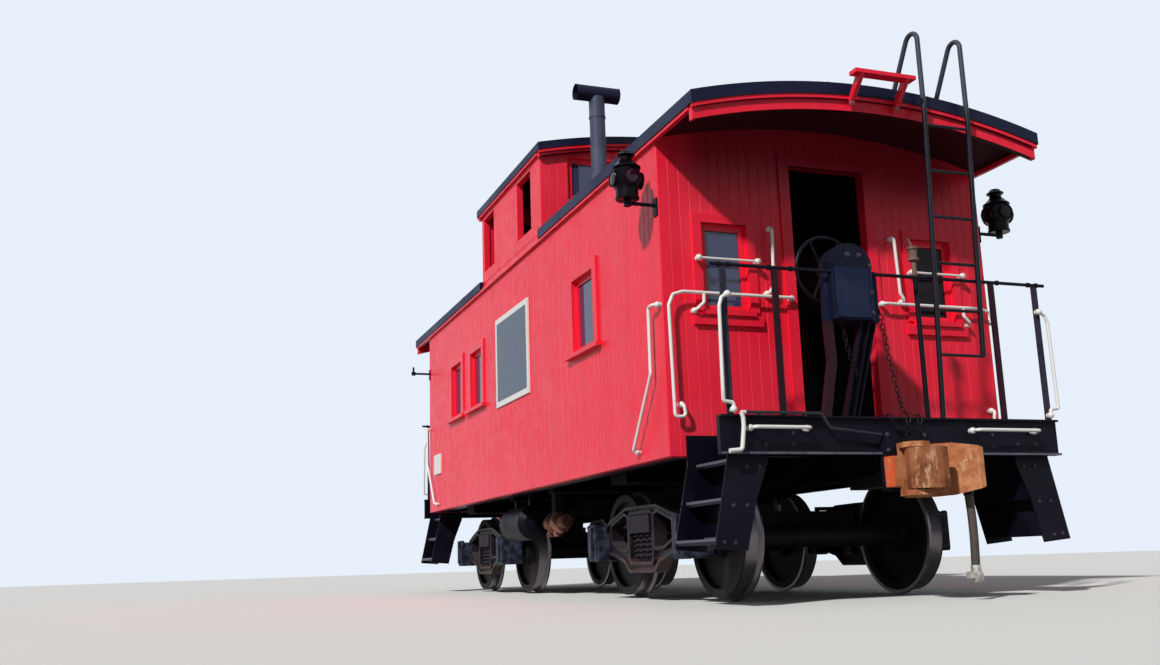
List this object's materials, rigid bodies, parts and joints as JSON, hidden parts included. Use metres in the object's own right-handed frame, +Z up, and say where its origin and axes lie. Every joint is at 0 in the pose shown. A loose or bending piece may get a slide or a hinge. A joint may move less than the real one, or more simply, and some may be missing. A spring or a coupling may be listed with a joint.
{
  "type": "cupola caboose railway brake van",
  "caption": "Standard-gauge cupola caboose with sheathed wooden cabin, open end platforms and two four-wheel trucks",
  "frame": {"origin": "centre of the car, level with the lowest points of the wheel flanges", "axes": "+X along the car towards the end whose door stands open, +Z up"},
  "size_m": [9.504, 3.424, 4.6457],
  "materials": {
    "black_iron": "satin black paint",
    "deck_planks": "black painted planks",
    "red_boards": "semi-gloss red paint on narrow vertical boards",
    "red_trim": "semi-gloss red paint",
    "roof_black": "matt black roof covering",
    "window_glass": "dark window glass",
    "board_slate": "slate blue board with a white border",
    "white_enamel": "gloss white paint",
    "smoke_pipe": "heat-dulled black pipe",
    "lamp_black": "gloss black lamp with dark red lenses",
    "rusty_casting": "rusted casting",
    "pipe_grey": "dull pipe and valve",
    "hose_rubber": "dusty black rubber",
    "coupling_metal": "cast coupling",
    "truck_casting": "grimy black casting",
    "wheel_steel": "dark wheel with a worn bright tread"
  },
  "bodies": {
    "root": {"centre_sills": "black_iron", "side_sills": "black_iron", "body_bolsters": "black_iron", "cross_bearers": "black_iron", "end_sills": "black_iron", "floor_deck": "deck_planks", "side_walls": "red_boards", "end_walls": "red_boards", "main_roof": "roof_black", "cupola_walls": "red_boards", "cupola_roof": "roof_black", "roof_fascias": "red_trim", "window_casings": "red_trim", "window_sashes": "red_trim", "window_glass": "window_glass", "sign_boards": "board_slate", "steps": "black_iron", "side_handrails": "white_enamel", "end_handrails": "white_enamel", "end_railings": "black_iron", "ladders": "black_iron", "running_boards": "red_trim", "smoke_jack": "smoke_pipe", "lamp_brackets": "black_iron", "marker_lamps": "lamp_black", "couplers": "rusty_casting", "brake_stands": "black_iron", "signal_pipes": "pipe_grey", "uncoupling_levers": "black_iron", "brake_gear": "black_iron", "brake_valve": "rusty_casting", "hose_fittings": "black_iron", "air_hose_near": "hose_rubber", "air_hose_far": "hose_rubber", "gladhand_near": "coupling_metal", "gladhand_far": "coupling_metal"},
    "truck_near": {"side_frames_near": "truck_casting", "truck_bolster_near": "truck_casting", "brake_beams_near": "truck_casting"},
    "truck_far": {"side_frames_far": "truck_casting", "truck_bolster_far": "truck_casting", "brake_beams_far": "truck_casting"},
    "axle_1": {"wheelset_1": "wheel_steel"},
    "axle_2": {"wheelset_2": "wheel_steel"},
    "axle_3": {"wheelset_3": "wheel_steel"},
    "axle_4": {"wheelset_4": "wheel_steel"},
    "door_near": {"door_near": "red_trim"},
    "door_far": {"door_far": "red_trim"},
    "brake_wheel_near": {"brake_wheel_near": "black_iron"},
    "brake_wheel_far": {"brake_wheel_far": "black_iron"},
    "knuckle_near": {"knuckle_near": "rusty_casting"},
    "knuckle_far": {"knuckle_far": "rusty_casting"}
  },
  "joints": [
    {"name": "truck_near_swivel", "type": "hinge", "parent": "root", "child": "truck_near", "pos_m": [2.273, 0, 0.715], "axis": [0, 0, 1], "range_deg": [-6, 6]},
    {"name": "truck_far_swivel", "type": "hinge", "parent": "root", "child": "truck_far", "pos_m": [-2.273, 0, 0.715], "axis": [0, 0, 1], "range_deg": [-6, 6]},
    {"name": "axle_1_spin", "type": "hinge", "parent": "truck_near", "child": "axle_1", "pos_m": [3.127, 0, 0.447], "axis": [0, 1, 0], "continuous": true},
    {"name": "axle_2_spin", "type": "hinge", "parent": "truck_near", "child": "axle_2", "pos_m": [1.419, 0, 0.447], "axis": [0, 1, 0], "continuous": true},
    {"name": "axle_3_spin", "type": "hinge", "parent": "truck_far", "child": "axle_3", "pos_m": [-1.419, 0, 0.447], "axis": [0, 1, 0], "continuous": true},
    {"name": "axle_4_spin", "type": "hinge", "parent": "truck_far", "child": "axle_4", "pos_m": [-3.127, 0, 0.447], "axis": [0, 1, 0], "continuous": true},
    {"name": "door_near_swing", "type": "hinge", "parent": "root", "child": "door_near", "pos_m": [3.527, -0.32, 2.15], "axis": [0, 0, 1], "range_deg": [-90, 0]},
    {"name": "door_far_swing", "type": "hinge", "parent": "root", "child": "door_far", "pos_m": [-3.527, 0.32, 2.15], "axis": [0, 0, 1], "range_deg": [0, 90]},
    {"name": "brake_wheel_near_spin", "type": "hinge", "parent": "root", "child": "brake_wheel_near", "pos_m": [3.967, -0.283, 2.245], "axis": [1, 0, 0], "continuous": true},
    {"name": "brake_wheel_far_spin", "type": "hinge", "parent": "root", "child": "brake_wheel_far", "pos_m": [-3.967, 0.283, 2.245], "axis": [1, 0, 0], "continuous": true},
    {"name": "knuckle_near_swing", "type": "hinge", "parent": "root", "child": "knuckle_near", "pos_m": [4.606, -0.158, 0.815], "axis": [0, 0, 1], "range_deg": [-50, 0]},
    {"name": "knuckle_far_swing", "type": "hinge", "parent": "root", "child": "knuckle_far", "pos_m": [-4.606, 0.158, 0.815], "axis": [0, 0, 1], "range_deg": [-50, 0]}
  ]
}
